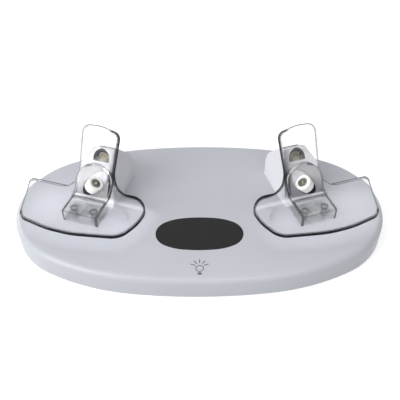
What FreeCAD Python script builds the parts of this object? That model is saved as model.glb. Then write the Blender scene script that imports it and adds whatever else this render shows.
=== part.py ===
import FreeCAD, Part
import math
import os

V = FreeCAD.Vector

# The part is a desk stand that charges two hand controllers: a flat oval base,
# a soft oval mat in its middle, and at each side a white post with a clear
# cradle in front of it that carries one round charging contact.
# Millimetres. Origin: middle of the footprint on the table. +X right, +Z up,
# the front with the touch area looks along -Y.

# Base, an oval of eight tangent arcs
BASE_LENGTH = 277.0
BASE_DEPTH = 151.0
BASE_TOP = 18.0
OVAL_END_SHARE = 0.809
OVAL_END_TURN = 61.1
OVAL_SIDE_TURN = 83.1
BASE_WALL = 2.4
BASE_RIM_R = 4.6
BASE_FLOOR = 1.2
PLATE_T = 2.4
PLATE_GAP = 0.2

# Mat, set back from the front edge
MAT_LENGTH = 63.0
MAT_DEPTH = 33.0
MAT_T = 1.3
MAT_SUNK = 1.0
MAT_INSET = 44.5
MAT_GAP = 0.15
MAT_EDGE = 0.4

# Rubber feet, set in from the ends and the sides
PAD_R = 7.0
PAD_SUNK = 0.5
PAD_INSET_X = 43.5
PAD_INSET_Y = 35.5
PAD_GAP = 0.1
PAD_EDGE = 0.4

# Place of one cradle, seen from the middle of its foot
CRADLE_INSET = 54.5
CRADLE_Y = -11.5
CRADLE_YAW = 18.0

# Clear foot block
FOOT_IN = 14.0
FOOT_OUT = 13.8
FOOT_FRONT = 10.2
FOOT_H = 8.5
FOOT_EDGE_R = 0.6
FOOT_HOLE_R = 2.3
FOOT_HOLES = 15.4
FOOT_HOLE_A = -1.0
FOOT_HOLE_Y = -3.7

# Clear sheet: a level skirt that bends up into a tongue
SHEET_T = 2.4
SKIRT_H = 10.5
TONGUE_LEAN = 19.0
TONGUE_CORNER_Y = 19.4
BEND_R = 22.0
CUT_TILT = 36.0

# Tongue outline, seen along the cut
TONGUE_TOP = 57.2
TOP_IN = 18.3
TOP_OUT = 10.9
TOP_CROWN = 3.0
TOP_DROP_IN = 3.1
TOP_DROP_OUT = 0.7
TOP_IN_R = 5.0
TOP_CROWN_R = 25.0
TOP_OUT_R = 7.5
WAIST_IN = 14.4
WAIST_RISE = 14.0
WAIST_R = 14.0
KNEE_IN = 17.2
KNEE_RISE = 6.2
KNEE_R = 9.0
FLARE_IN = 27.5
FLARE_IN_R = 25.0
FLARE_OUT = 14.6
FLARE_OUT_R = 13.0

# Skirt outline, seen from above
SKIRT_FRONT = 30.6
SKIRT_REAR = 12.9
SKIRT_REAR_IN = 15.2
FRONT_OUT = 15.4
FRONT_IN = 4.0
FRONT_R = 70.0
WING_OUT = 52.0
WING_OUT_R = 3.2
CORNER_OUT = 39.2
CORNER_OUT_RISE = 4.8
CORNER_OUT_R = 9.0
WING_IN = 46.4
WING_IN_R = 12.5
SIDE_IN = 45.3
SIDE_IN_Y = 6.5
SIDE_IN_R = 40.0
CORNER_IN = 38.3
CORNER_IN_RISE = 6.9
CORNER_IN_R = 14.0

# Clear hub behind the contact
HUB_HALF = 13.2
HUB_LEAN = 30.0
HUB_FOOT_Y = 7.0
HUB_APEX_H = 32.5
HUB_A = -0.6

# White post
POST_GAP = 1.8
POST_LEAN = 30.3
POST_WALL = 2.4
POST_IN = 16.9
POST_OUT = 15.0
POST_APEX_A = -2.2
POST_APEX_H = 40.4
POST_APEX_R = 5.0
POST_IN_TOP_A = -12.0
POST_IN_TOP_H = 38.6
POST_IN_TOP_R = 3.0
POST_SHOULDER_A = 13.8
POST_SHOULDER_H = 26.0
POST_SHOULDER_R = 4.0
POST_RIDGE_Y = 37.5
POST_RIDGE_H = 37.6
POST_BACK_Y = 54.5
POST_BACK_H = 21.0
POST_BACK_R = 6.0
POST_REAR_Y = 60.0
POST_REAR_DRAFT = 1.5
POST_REAR_SHARE = 0.87
POST_REAR_R = 5.0
POST_BOSS_FRONT = 10.0
POST_BOSS_REAR = 34.0
POST_BOSS_A = -2.5

# Arched window in the head of the post
WINDOW_HALF = 6.4
WINDOW_SILL_H = 29.4
WINDOW_SPRING_H = 31.2
WINDOW_BACK = 0.6
WINDOW_A = -2.4

# Metal insert and screw inside the window
INSERT_H = 29.8
INSERT_R = 5.2
INSERT_LEN = 3.6
INSERT_BORE_R = 3.4
INSERT_BORE_DEEP = 1.6
SLOT_WIDTH = 0.9

# Charging contact
CONTACT_FACE = V(-3.7, 14.6, 20.4)
CONTACT_AXIS = V(-0.61, -0.06, 0.79)
CONTACT_R = 6.0
CONTACT_LEN = 7.0
CONTACT_EDGE = 0.4
CONTACT_GAP = 0.1
RING_R = 3.7
RING_LEN = 2.8
RING_SUNK = 0.3
INSULATOR_R = 2.3
SLEEVE_R = 1.25
SLEEVE_LEN = 6.0
SLEEVE_WALL = 0.5
PIN_CLEARANCE = 0.05
PIN_OUT = 1.0
PIN_TRAVEL = 0.7
SPRING_ROOM = 0.3
FIT_GAP = 0.03

# Screws, with named depths into their bosses
SCREW_R = 1.25
SCREW_HEAD_R = 2.7
SCREW_HEAD_H = 1.1
SCREW_GAP = 0.05
SCREW_GRIP = 7.0
PILOT_DEEP = 8.0
POST_GRIP = 9.0
BOSS_R = 4.0
CRADLE_HEAD_R = 3.1
CRADLE_HEX_R = 0.7
CRADLE_HEX_DEEP = 1.0
CRADLE_TIP_SUNK = 1.2
END_SCREW_INSET = 17.5
END_SCREW_Y = 4.0
CORNER_SCREW_X = 78.5
CORNER_SCREW_Y = 15.5

# Electronics
BOARD_LENGTH = 62.0
BOARD_DEPTH = 30.0
BOARD_T = 1.6
BOARD_LIFT = 3.0
BOARD_REAR_GAP = 2.2
BOARD_HOLE_INSET = 4.0
BOARD_HOLE_R = 1.1
BOARD_POST_R = 2.6
BOARD_SCREW_R = 0.85
BOARD_SCREW_GAP = 0.05
BOARD_SCREW_TIP = 0.4
BOARD_HEAD_R = 1.9
BOARD_HEAD_H = 1.0
SOCKET_WIDTH = 8.94
SOCKET_HEIGHT = 3.26
SOCKET_LEN = 7.3
SOCKET_WALL = 0.3
SOCKET_BACK_T = 1.2
SOCKET_SET_BACK = 0.5
SOCKET_GAP = 0.25
SOCKET_TONGUE_W = 6.7
SOCKET_TONGUE_T = 0.7
CHIP_A = -10.0
CHIP_SIDE = 6.0
CHIP_H = 0.9
COIL_A = 12.0
COIL_SIDE = 8.0
COIL_H = 3.5
CHIP_EDGE_R = 0.25
TOUCH_INSET = 13.5
TOUCH_R = 9.0
TOUCH_T = 0.8

# Lights under the clear foot
LED_BOARD_LENGTH = 14.0
LED_BOARD_DEPTH = 5.0
LED_BOARD_T = 1.0
LED_Y = 2.0
LED_LENGTH = 2.8
LED_DEPTH = 1.6
LED_H = 0.9
LED_SPACING = 7.0
LED_GAP = 0.6

# Lead from each contact down through the foot to the board
LEAD_R = 0.6
LEAD_GAP = 0.35
LEAD_BEND_R = 3.6
LEAD_SWEEP_R = 12.0
LEAD_OUT = 2.6
LEAD_KNEE = V(4.0, 8.0, 5.0)
LEAD_SIDE_X = 22.0
LEAD_SIDE_Y = 19.5
LEAD_END_X = 16.0
LEAD_END_Y = 20.0
LEAD_END_RUN = 10.0
LEAD_END_RISE = 4.0

PLATE_TOP = BASE_FLOOR + PLATE_T
CEILING = BASE_TOP - BASE_WALL
HALF_LENGTH = BASE_LENGTH / 2
HALF_DEPTH = BASE_DEPTH / 2
CRADLE_X = HALF_LENGTH - CRADLE_INSET
BEND_Y = TONGUE_CORNER_Y - BEND_R * math.tan(math.radians(90 - TONGUE_LEAN) / 2)


def save(name, shape):
    if shape.ShapeType == "Compound" and len(shape.Solids) == 1:
        shape = shape.Solids[0]
    shape.exportStep("parts/" + name + ".step")


def cylinder(radius, height, base, axis=V(0, 0, 1)):
    return Part.makeCylinder(radius, height, base, axis)


def oval_arcs(length, depth):
    # end, shoulder and side arc of the upper half: centre, radius, first and last angle
    a, b = length / 2, depth / 2
    end_r = OVAL_END_SHARE * b
    t1, t2 = math.radians(OVAL_END_TURN), math.radians(OVAL_SIDE_TURN)
    c1, s1, c2, s2 = math.cos(t1), math.sin(t1), math.cos(t2), math.sin(t2)
    across = a - end_r + end_r * c1
    up = b - end_r * s1
    shoulder_r = (across * (1 - s2) - up * c2) / ((c1 - c2) * (1 - s2) - (s2 - s1) * c2)
    side_r = (up - shoulder_r * (s2 - s1)) / (1 - s2)
    end_x = a - end_r
    x = end_x - (shoulder_r - end_r) * c1
    y = -(shoulder_r - end_r) * s1
    return [
        (end_x, 0, end_r, -OVAL_END_TURN, OVAL_END_TURN),
        (x, y, shoulder_r, OVAL_END_TURN, OVAL_SIDE_TURN),
        (0, b - side_r, side_r, OVAL_SIDE_TURN, 180 - OVAL_SIDE_TURN),
        (-x, y, shoulder_r, 180 - OVAL_SIDE_TURN, 180 - OVAL_END_TURN),
    ]


def oval(length, depth, z0, z1, y0=0.0, inset=0.0):
    edges = []
    for turn in (0, 180):
        sign = 1 if turn == 0 else -1
        for x, y, radius, first, last in oval_arcs(length, depth):
            centre = V(sign * x, y0 + sign * y, z0)
            edges.append(Part.makeCircle(radius - inset, centre, V(0, 0, 1), first + turn, last + turn))
    return Part.Face(Part.Wire(edges)).extrude(V(0, 0, z1 - z0))


def base_oval(z0, z1, inset=0.0):
    return oval(BASE_LENGTH, BASE_DEPTH, z0, z1, 0.0, inset)


def rounded_face(corners):
    # corners: (u, v, radius) round a closed outline
    count = len(corners)
    ends = []
    arcs = []
    for i in range(count):
        p = V(corners[i][0], corners[i][1], 0)
        before = V(corners[i - 1][0], corners[i - 1][1], 0) - p
        after = V(corners[(i + 1) % count][0], corners[(i + 1) % count][1], 0) - p
        before.normalize()
        after.normalize()
        radius = corners[i][2]
        half = before.getAngle(after) / 2
        if radius <= 0:
            ends.append((p, p))
            arcs.append(None)
            continue
        reach = radius / math.tan(half)
        middle = before + after
        middle.normalize()
        centre = p + middle * (radius / math.sin(half))
        start, stop = p + before * reach, p + after * reach
        ends.append((start, stop))
        arcs.append(Part.Arc(start, centre - middle * radius, stop).toShape())
    edges = []
    for i in range(count):
        if arcs[i]:
            edges.append(arcs[i])
        a, b = ends[i][1], ends[(i + 1) % count][0]
        if a.distanceToPoint(b) > 1e-6:
            edges.append(Part.LineSegment(a, b).toShape())
    return Part.Face(Part.Wire(edges))


def turned(shape, x_axis, y_axis, z_axis, at=V(0, 0, 0)):
    spin = FreeCAD.Rotation(x_axis, y_axis, z_axis, "ZXY")
    return shape.transformed(FreeCAD.Placement(at, spin).toMatrix())


def side_prism(corners, a0, a1):
    # outline in (y, h), pushed along a
    body = rounded_face(corners).extrude(V(0, 0, a1 - a0))
    return turned(body, V(0, 1, 0), V(0, 0, 1), V(1, 0, 0), V(a0, 0, 0))


def front_prism(corners, y0, y1):
    # outline in (a, h), pushed along y
    body = rounded_face(corners).extrude(V(0, 0, y1 - y0))
    return turned(body, V(1, 0, 0), V(0, 0, 1), V(0, -1, 0), V(0, y1, 0))


def plan_prism(corners, h0, h1):
    body = rounded_face(corners).extrude(V(0, 0, h1 - h0))
    body.translate(V(0, 0, h0))
    return body


def tilted_prism(corners, tilt, reach=160.0):
    # outline in (a, w), where w leans back by tilt from the vertical
    t = math.radians(tilt)
    body = rounded_face(corners).extrude(V(0, 0, 2 * reach))
    body.translate(V(0, 0, -reach))
    up = V(0, math.sin(t), math.cos(t))
    return turned(body, V(1, 0, 0), up, V(0, -math.cos(t), math.sin(t)))


def tongue_y(h):
    return TONGUE_CORNER_Y + (h - SKIRT_H) * math.tan(math.radians(TONGUE_LEAN))


def post_y(h):
    # front face of the post, clear of the back of the sheet
    back = tongue_y(SKIRT_H + BEND_R * 0.5) + POST_GAP - BEND_R * 0.5 * math.tan(math.radians(POST_LEAN))
    return back + (h - SKIRT_H) * math.tan(math.radians(POST_LEAN))


def sheet_profile():
    lean = math.radians(TONGUE_LEAN)
    half = SHEET_T / 2
    shift = half * math.tan(math.radians(90 - TONGUE_LEAN) / 2)
    up = V(math.sin(lean), math.cos(lean), 0)
    across = V(math.cos(lean), -math.sin(lean), 0)
    corner = V(TONGUE_CORNER_Y, SKIRT_H, 0)
    top = corner + up * ((TONGUE_TOP - SKIRT_H) / up.y + 4 * SHEET_T)
    front = -SKIRT_FRONT - 4 * SHEET_T
    low = corner + V(shift, -half, 0)
    high = corner - V(shift, -half, 0)
    back_top = top + across * half
    front_top = top - across * half
    return [
        (front, SKIRT_H - half, 0),
        (low.x, low.y, BEND_R + half),
        (back_top.x, back_top.y, 0),
        (front_top.x, front_top.y, 0),
        (high.x, high.y, BEND_R - half),
        (front, SKIRT_H + half, 0),
    ]


def skirt_outline():
    return [
        (FRONT_OUT, -SKIRT_FRONT, FRONT_R),
        (CORNER_OUT, CORNER_OUT_RISE - SKIRT_FRONT, CORNER_OUT_R),
        (WING_OUT, SKIRT_REAR, WING_OUT_R),
        (0, SKIRT_REAR, 0),
        (0, SKIRT_REAR_IN, 0),
        (-WING_IN, SKIRT_REAR_IN, WING_IN_R),
        (-SIDE_IN, -SIDE_IN_Y, SIDE_IN_R),
        (-CORNER_IN, CORNER_IN_RISE - SKIRT_FRONT, CORNER_IN_R),
        (-FRONT_IN, -SKIRT_FRONT, FRONT_R),
    ]


def along_cut(y, h):
    tilt = math.radians(CUT_TILT)
    return y * math.sin(tilt) + h * math.cos(tilt)


def wing_rear(y):
    # where the lower face of the bend ends at this rear edge
    outer_r = BEND_R + SHEET_T / 2
    return along_cut(y, SKIRT_H + BEND_R - math.sqrt(outer_r ** 2 - (y - BEND_Y) ** 2))


def tongue_outline():
    rear_in, rear_out = wing_rear(SKIRT_REAR_IN), wing_rear(SKIRT_REAR)
    low = rear_out - 2 * SHEET_T
    top = along_cut(tongue_y(TONGUE_TOP), TONGUE_TOP)
    start_in = FLARE_IN + FLARE_IN_R / 4
    start_out = FLARE_OUT + FLARE_OUT_R * 1.15
    return [
        (-start_in, low, 0),
        (-start_in, rear_in, 0),
        (-FLARE_IN, rear_in, FLARE_IN_R),
        (-KNEE_IN, rear_in + KNEE_RISE, KNEE_R),
        (-WAIST_IN, rear_in + WAIST_RISE, WAIST_R),
        (-TOP_IN, top - TOP_DROP_IN, TOP_IN_R),
        (-TOP_CROWN, top, TOP_CROWN_R),
        (TOP_OUT, top - TOP_DROP_OUT, TOP_OUT_R),
        (FLARE_OUT, rear_out, FLARE_OUT_R),
        (start_out, rear_out, 0),
        (start_out, low, 0),
    ]


def clear_sheet():
    reach = WING_IN + WING_OUT
    plate = side_prism(sheet_profile(), -reach, reach)
    tongue = tilted_prism(tongue_outline(), CUT_TILT)
    skirt = plan_prism(skirt_outline(), 0, TONGUE_TOP)
    return plate.common(tongue).fuse(plate.common(skirt)).removeSplitter()


def clear_hub():
    tilt = math.radians(HUB_LEAN)
    top_h = HUB_APEX_H + HUB_HALF
    rear0 = post_y(0) - POST_GAP
    side = side_prism([
        (HUB_FOOT_Y - FOOT_H * math.tan(tilt), 0, 0),
        (rear0, 0, 0),
        (tongue_y(SKIRT_H + BEND_R * 0.68), SKIRT_H + BEND_R * 0.68, 0),
        (tongue_y(top_h), top_h, 0),
        (HUB_FOOT_Y + (top_h - FOOT_H) * math.tan(tilt), top_h, 0),
    ], HUB_A - HUB_HALF, HUB_A + HUB_HALF)
    apex_y = HUB_FOOT_Y + (HUB_APEX_H - FOOT_H) * math.tan(tilt)
    apex_w = apex_y * math.sin(tilt) + HUB_APEX_H * math.cos(tilt)
    arch = tilted_prism([
        (HUB_A - HUB_HALF, -SKIRT_FRONT, 0),
        (HUB_A + HUB_HALF, -SKIRT_FRONT, 0),
        (HUB_A + HUB_HALF, apex_w, HUB_HALF - 0.02),
        (HUB_A - HUB_HALF, apex_w, HUB_HALF - 0.02),
    ], HUB_LEAN)
    return side.common(arch)


def foot_holes():
    half = FOOT_HOLES / 2
    return [V(FOOT_HOLE_A + s * half, FOOT_HOLE_Y, 0) for s in (-1, 1)]


def cradle():
    foot = plan_prism([
        (-FOOT_IN, -FOOT_FRONT, FOOT_EDGE_R),
        (FOOT_OUT, -FOOT_FRONT, FOOT_EDGE_R),
        (FOOT_OUT, post_y(0) - POST_GAP, FOOT_EDGE_R),
        (-FOOT_IN, post_y(0) - POST_GAP, FOOT_EDGE_R),
    ], 0, FOOT_H)
    body = foot.fuse(clear_hub()).fuse(clear_sheet())
    axis = contact_axis()
    seat = cylinder(CONTACT_R + CONTACT_GAP, 2.5 * CONTACT_LEN, CONTACT_FACE - axis * CONTACT_LEN, axis)
    body = body.cut(seat).cut(lead_channel())
    for p in foot_holes():
        body = body.cut(cylinder(FOOT_HOLE_R, FOOT_H, p))
    return body.removeSplitter()


def cradle_screws():
    solids = []
    for p in foot_holes():
        tip = FOOT_H - CRADLE_TIP_SUNK
        shank = cylinder(FOOT_HOLE_R - SCREW_GAP, tip + BASE_WALL, p - V(0, 0, BASE_WALL))
        head = cylinder(CRADLE_HEAD_R, SCREW_HEAD_H, p - V(0, 0, BASE_WALL + SCREW_HEAD_H))
        socket = cylinder(CRADLE_HEX_R, CRADLE_HEX_DEEP, p + V(0, 0, tip - CRADLE_HEX_DEEP))
        solids.append(shank.fuse(head).cut(socket))
    return Part.Compound(solids)


def post_block(inset):
    mid = (POST_OUT - POST_IN) / 2
    front = post_y(0) + inset
    below = 2 * POST_WALL
    slope = math.tan(math.radians(POST_LEAN))
    side = side_prism([
        (front - slope * below, -below, 0),
        (post_y(POST_APEX_H) + inset * 0.6, POST_APEX_H - inset, SHEET_T),
        (POST_RIDGE_Y, POST_RIDGE_H - inset, POST_BACK_R),
        (POST_BACK_Y - inset, POST_BACK_H - inset * 0.4, POST_BACK_R),
        (POST_REAR_Y - inset + POST_REAR_DRAFT, -below, 0),
    ], -2 * POST_IN, 2 * POST_OUT)
    face = front_prism([
        (-POST_IN + inset, -below, 0),
        (POST_OUT - inset, -below, 0),
        (POST_SHOULDER_A - inset, POST_SHOULDER_H - inset * 0.7, POST_SHOULDER_R),
        (POST_APEX_A, POST_APEX_H - inset * 1.2, POST_APEX_R),
        (POST_IN_TOP_A + inset, POST_IN_TOP_H - inset, POST_IN_TOP_R),
    ], 0, POST_REAR_Y + below)
    plan = plan_prism([
        (-POST_IN + inset, front - 0.1, 0),
        (POST_OUT - inset, front - 0.1, 0),
        (mid + (POST_OUT - mid) * POST_REAR_SHARE - inset, POST_REAR_Y - inset, POST_REAR_R),
        (mid - (POST_IN + mid) * POST_REAR_SHARE + inset, POST_REAR_Y - inset, POST_REAR_R),
    ], 0, POST_APEX_H + below)
    return side.common(face).common(plan)


def window_cutter(inset, y0, y1):
    half = WINDOW_HALF - inset
    return front_prism([
        (WINDOW_A - half, WINDOW_SILL_H + inset, 0),
        (WINDOW_A + half, WINDOW_SILL_H + inset, 0),
        (WINDOW_A + half, WINDOW_SPRING_H + WINDOW_HALF - inset, half - 0.02),
        (WINDOW_A - half, WINDOW_SPRING_H + WINDOW_HALF - inset, half - 0.02),
    ], y0, y1)


def insert_centre():
    # middle of the insert's rear end
    front = post_y(WINDOW_SPRING_H + WINDOW_HALF) + WINDOW_BACK
    return V(WINDOW_A, front + INSERT_LEN, INSERT_H)


def post_bosses():
    return [V(POST_BOSS_A, post_y(0) + y, 0) for y in (POST_BOSS_FRONT, POST_BOSS_REAR)]


def post():
    rear = insert_centre()
    head = window_cutter(-POST_WALL, 0, rear.y + POST_WALL)
    core = cylinder(INSERT_R + POST_WALL, 2 * INSERT_LEN, rear + V(0, POST_WALL, 0), V(0, -1, 0))
    body = post_block(0).cut(post_block(POST_WALL).cut(head.fuse(core)))
    body = body.cut(window_cutter(0, 0, rear.y - INSERT_LEN))
    body = body.cut(cylinder(INSERT_R + FIT_GAP, INSERT_LEN, rear, V(0, -1, 0)))
    for p in post_bosses():
        body = body.fuse(cylinder(BOSS_R, POST_APEX_H, p).common(post_block(0.2)))
        body = body.cut(cylinder(SCREW_R + SCREW_GAP, POST_GRIP + 1, p))
    return body.removeSplitter()


def post_screws():
    solids = []
    for p in post_bosses():
        low = p - V(0, 0, BASE_WALL)
        shank = cylinder(SCREW_R, BASE_WALL + POST_GRIP, low)
        head = cylinder(SCREW_HEAD_R, SCREW_HEAD_H, low - V(0, 0, SCREW_HEAD_H))
        solids.append(shank.fuse(head))
    return Part.Compound(solids)


def post_insert():
    c = insert_centre()
    body = cylinder(INSERT_R, INSERT_LEN, c, V(0, -1, 0))
    mouth = c - V(0, INSERT_LEN, 0)
    return body.cut(cylinder(INSERT_BORE_R, INSERT_BORE_DEEP, mouth, V(0, 1, 0)))


def post_insert_screw():
    c = insert_centre() - V(0, INSERT_LEN - INSERT_BORE_DEEP, 0)
    body = cylinder(INSERT_BORE_R - 4 * FIT_GAP, INSERT_BORE_DEEP * 0.8, c, V(0, -1, 0))
    front = c - V(0, INSERT_BORE_DEEP * 0.8, 0)
    corner = front - V(INSERT_BORE_R, 0, SLOT_WIDTH / 2)
    slot = Part.makeBox(2 * INSERT_BORE_R, INSERT_BORE_DEEP * 0.4, SLOT_WIDTH, corner)
    return body.cut(slot)


def contact_axis():
    axis = V(CONTACT_AXIS)
    axis.normalize()
    return axis


def along(depth):
    # point on the contact's axis, this deep behind its face
    return CONTACT_FACE - contact_axis() * depth


def contact_barrel():
    axis = contact_axis()
    body = cylinder(CONTACT_R, CONTACT_LEN, along(CONTACT_LEN), axis)
    rims = [e for e in body.Edges if e.Curve.TypeId == "Part::GeomCircle"]
    body = body.makeChamfer(CONTACT_EDGE, rims)
    body = body.cut(cylinder(RING_R + FIT_GAP, RING_LEN + RING_SUNK, along(RING_LEN + RING_SUNK), axis))
    return body.cut(cylinder(SLEEVE_R + FIT_GAP, CONTACT_LEN, along(SLEEVE_LEN + RING_SUNK), axis))


def contact_ring():
    axis = contact_axis()
    low = along(RING_LEN + RING_SUNK)
    body = cylinder(RING_R, RING_LEN, low, axis)
    return body.cut(cylinder(INSULATOR_R + FIT_GAP, RING_LEN, low, axis))


def contact_insulator():
    axis = contact_axis()
    low = along(RING_LEN + RING_SUNK)
    body = cylinder(INSULATOR_R, RING_LEN, low, axis)
    return body.cut(cylinder(SLEEVE_R + FIT_GAP, RING_LEN, low, axis))


def pin_sleeve():
    axis = contact_axis()
    low = along(SLEEVE_LEN + RING_SUNK)
    body = cylinder(SLEEVE_R, SLEEVE_LEN, low, axis)
    return body.cut(cylinder(SLEEVE_R - SLEEVE_WALL, SLEEVE_LEN, low + axis * SLEEVE_WALL, axis))


def contact_pin():
    axis = contact_axis()
    radius = SLEEVE_R - SLEEVE_WALL - PIN_CLEARANCE
    deep = SLEEVE_LEN + RING_SUNK - SLEEVE_WALL - PIN_TRAVEL - SPRING_ROOM
    body = cylinder(radius, deep + PIN_OUT - radius, along(deep), axis)
    tip = Part.makeSphere(radius, along(radius - PIN_OUT))
    return body.fuse(tip).removeSplitter()


def place(shape, side):
    out = shape.copy()
    out.rotate(V(0, 0, 0), V(0, 0, 1), CRADLE_YAW)
    out.translate(V(CRADLE_X, CRADLE_Y, BASE_TOP))
    return mirrored(out, side)


def place_point(p, side):
    spin = FreeCAD.Rotation(V(0, 0, 1), CRADLE_YAW)
    q = spin.multVec(p) + V(CRADLE_X, CRADLE_Y, BASE_TOP)
    if side == "left":
        q = V(-q.x, q.y, q.z)
    return q


def base_screw_places():
    end = (HALF_LENGTH - END_SCREW_INSET, END_SCREW_Y)
    x, y = HALF_LENGTH - CORNER_SCREW_X, HALF_DEPTH - CORNER_SCREW_Y
    return [V(side * p[0], p[1], BASE_FLOOR) for side in (-1, 1) for p in (end, (x, y), (x, -y))]


def pad_places():
    return [("left", "rear", -1, 1), ("right", "rear", 1, 1), ("left", "front", -1, -1), ("right", "front", 1, -1)]


def socket_middle():
    return PLATE_TOP + BOARD_LIFT + BOARD_T + SOCKET_HEIGHT / 2


def socket_prism(grow, y0, y1):
    w, h = SOCKET_WIDTH / 2 + grow, SOCKET_HEIGHT / 2 + grow
    z = socket_middle()
    r = h - 0.02
    return front_prism([(-w, z - h, r), (w, z - h, r), (w, z + h, r), (-w, z + h, r)], y0, y1)


def board_rear():
    return HALF_DEPTH - BASE_WALL - BOARD_REAR_GAP


def board_posts():
    x = BOARD_LENGTH / 2 - BOARD_HOLE_INSET
    rear = board_rear()
    ys = (rear - BOARD_HOLE_INSET, rear - BOARD_DEPTH + BOARD_HOLE_INSET)
    return [V(side * x, y, PLATE_TOP) for side in (-1, 1) for y in ys]


def mat_y():
    return MAT_INSET - HALF_DEPTH


def upper_edges(body, z):
    return [e for e in body.Edges if e.BoundBox.ZMin > z - 0.01]


def base_top_shell():
    body = base_oval(BASE_FLOOR, BASE_TOP)
    body = body.makeFillet(BASE_RIM_R, upper_edges(body, BASE_TOP))
    body = body.cut(base_oval(0, CEILING, BASE_WALL))
    body = body.cut(oval(MAT_LENGTH, MAT_DEPTH, BASE_TOP - MAT_SUNK, BASE_TOP + 1, mat_y(), -MAT_GAP))
    for p in base_screw_places():
        low = V(p.x, p.y, PLATE_TOP)
        body = body.fuse(cylinder(BOSS_R, CEILING + BASE_WALL / 6 - PLATE_TOP, low))
        body = body.cut(cylinder(SCREW_R + SCREW_GAP, PILOT_DEEP, low))
    for side in ("left", "right"):
        body = body.cut(place(lead_channel(), side)).cut(place(led_slot(), side))
        for p, radius in [(p, FOOT_HOLE_R) for p in foot_holes()] + [(p, SCREW_R + SCREW_GAP) for p in post_bosses()]:
            q = place_point(p, side)
            body = body.cut(cylinder(radius, BASE_WALL, V(q.x, q.y, CEILING)))
    body = body.cut(socket_prism(SOCKET_GAP, HALF_DEPTH - 3 * BASE_WALL, HALF_DEPTH + 1))
    return body.removeSplitter()


def base_bottom_plate():
    body = base_oval(BASE_FLOOR, PLATE_TOP, BASE_WALL + PLATE_GAP)
    for p in board_posts():
        body = body.fuse(cylinder(BOARD_POST_R, BOARD_LIFT, p))
        body = body.cut(cylinder(BOARD_SCREW_R + BOARD_SCREW_GAP, BOARD_LIFT, p))
    for p in base_screw_places():
        body = body.cut(cylinder(SCREW_R + SCREW_GAP, PLATE_T, p))
        body = body.cut(cylinder(SCREW_HEAD_R + SCREW_GAP, SCREW_HEAD_H, p))
    for _, _, sx, sy in pad_places():
        body = body.cut(cylinder(PAD_R + PAD_GAP, PAD_SUNK, pad_centre(sx, sy, BASE_FLOOR)))
    return body


def base_screws():
    solids = []
    for p in base_screw_places():
        head = cylinder(SCREW_HEAD_R, SCREW_HEAD_H, p)
        solids.append(head.fuse(cylinder(SCREW_R, PLATE_T + SCREW_GRIP, p)))
    return Part.Compound(solids)


def pad_centre(sx, sy, z):
    return V(sx * (HALF_LENGTH - PAD_INSET_X), sy * (HALF_DEPTH - PAD_INSET_Y), z)


def rubber_foot(sx, sy):
    body = cylinder(PAD_R, BASE_FLOOR + PAD_SUNK, pad_centre(sx, sy, 0))
    low = [e for e in body.Edges if e.BoundBox.ZMax < 0.01]
    return body.makeChamfer(PAD_EDGE, low)


def mat():
    z0 = BASE_TOP - MAT_SUNK
    body = oval(MAT_LENGTH, MAT_DEPTH, z0, z0 + MAT_T, mat_y())
    return body.makeChamfer(MAT_EDGE, upper_edges(body, z0 + MAT_T))


def main_board():
    z = PLATE_TOP + BOARD_LIFT
    corner = V(-BOARD_LENGTH / 2, board_rear() - BOARD_DEPTH, z)
    body = Part.makeBox(BOARD_LENGTH, BOARD_DEPTH, BOARD_T, corner)
    for p in board_posts():
        body = body.cut(cylinder(BOARD_HOLE_R, BOARD_T, V(p.x, p.y, z)))
    return body


def board_screws():
    solids = []
    for p in board_posts():
        low = p + V(0, 0, BOARD_SCREW_TIP)
        top = p + V(0, 0, BOARD_LIFT + BOARD_T)
        head = cylinder(BOARD_HEAD_R, BOARD_HEAD_H, top)
        solids.append(head.fuse(cylinder(BOARD_SCREW_R, top.z - low.z, low)))
    return Part.Compound(solids)


def socket_shell():
    mouth = HALF_DEPTH - SOCKET_SET_BACK
    body = socket_prism(0, mouth - SOCKET_LEN, mouth)
    return body.cut(socket_prism(-SOCKET_WALL, mouth - SOCKET_LEN + SOCKET_BACK_T, mouth + 1))


def socket_tongue():
    length = SOCKET_LEN - 2 * SOCKET_BACK_T
    rear = HALF_DEPTH - SOCKET_SET_BACK - SOCKET_LEN + SOCKET_BACK_T
    corner = V(-SOCKET_TONGUE_W / 2, rear, socket_middle() - SOCKET_TONGUE_T / 2)
    return Part.makeBox(SOCKET_TONGUE_W, length, SOCKET_TONGUE_T, corner)


def on_board(x, side, height):
    corner = V(x - side / 2, board_rear() - (BOARD_DEPTH + side) / 2 - BOARD_LIFT, PLATE_TOP + BOARD_LIFT + BOARD_T)
    body = Part.makeBox(side, side, height, corner)
    upper = [e for e in body.Edges if e.BoundBox.ZMin > corner.z + 0.01]
    return body.makeFillet(CHIP_EDGE_R, upper)


def touch_electrode():
    return cylinder(TOUCH_R, TOUCH_T, V(0, TOUCH_INSET - HALF_DEPTH, CEILING - TOUCH_T))


def led_places():
    return [V(FOOT_HOLE_A + side * LED_SPACING / 2, LED_Y, -BASE_WALL) for side in (-1, 1)]


def led_board():
    corner = V(FOOT_HOLE_A - LED_BOARD_LENGTH / 2, LED_Y - LED_BOARD_DEPTH / 2, -BASE_WALL - LED_BOARD_T)
    return Part.makeBox(LED_BOARD_LENGTH, LED_BOARD_DEPTH, LED_BOARD_T, corner)


def leds():
    half = V(LED_LENGTH / 2, LED_DEPTH / 2, 0)
    return Part.Compound([Part.makeBox(LED_LENGTH, LED_DEPTH, LED_H, p - half) for p in led_places()])


def led_slot():
    length = LED_SPACING + LED_LENGTH + 2 * LED_GAP
    depth = LED_DEPTH + 2 * LED_GAP
    corner = V(FOOT_HOLE_A - length / 2, LED_Y - depth / 2, -BASE_WALL)
    return Part.makeBox(length, depth, BASE_WALL, corner)


def lead_low():
    return PLATE_TOP + LEAD_R + FIT_GAP


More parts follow.
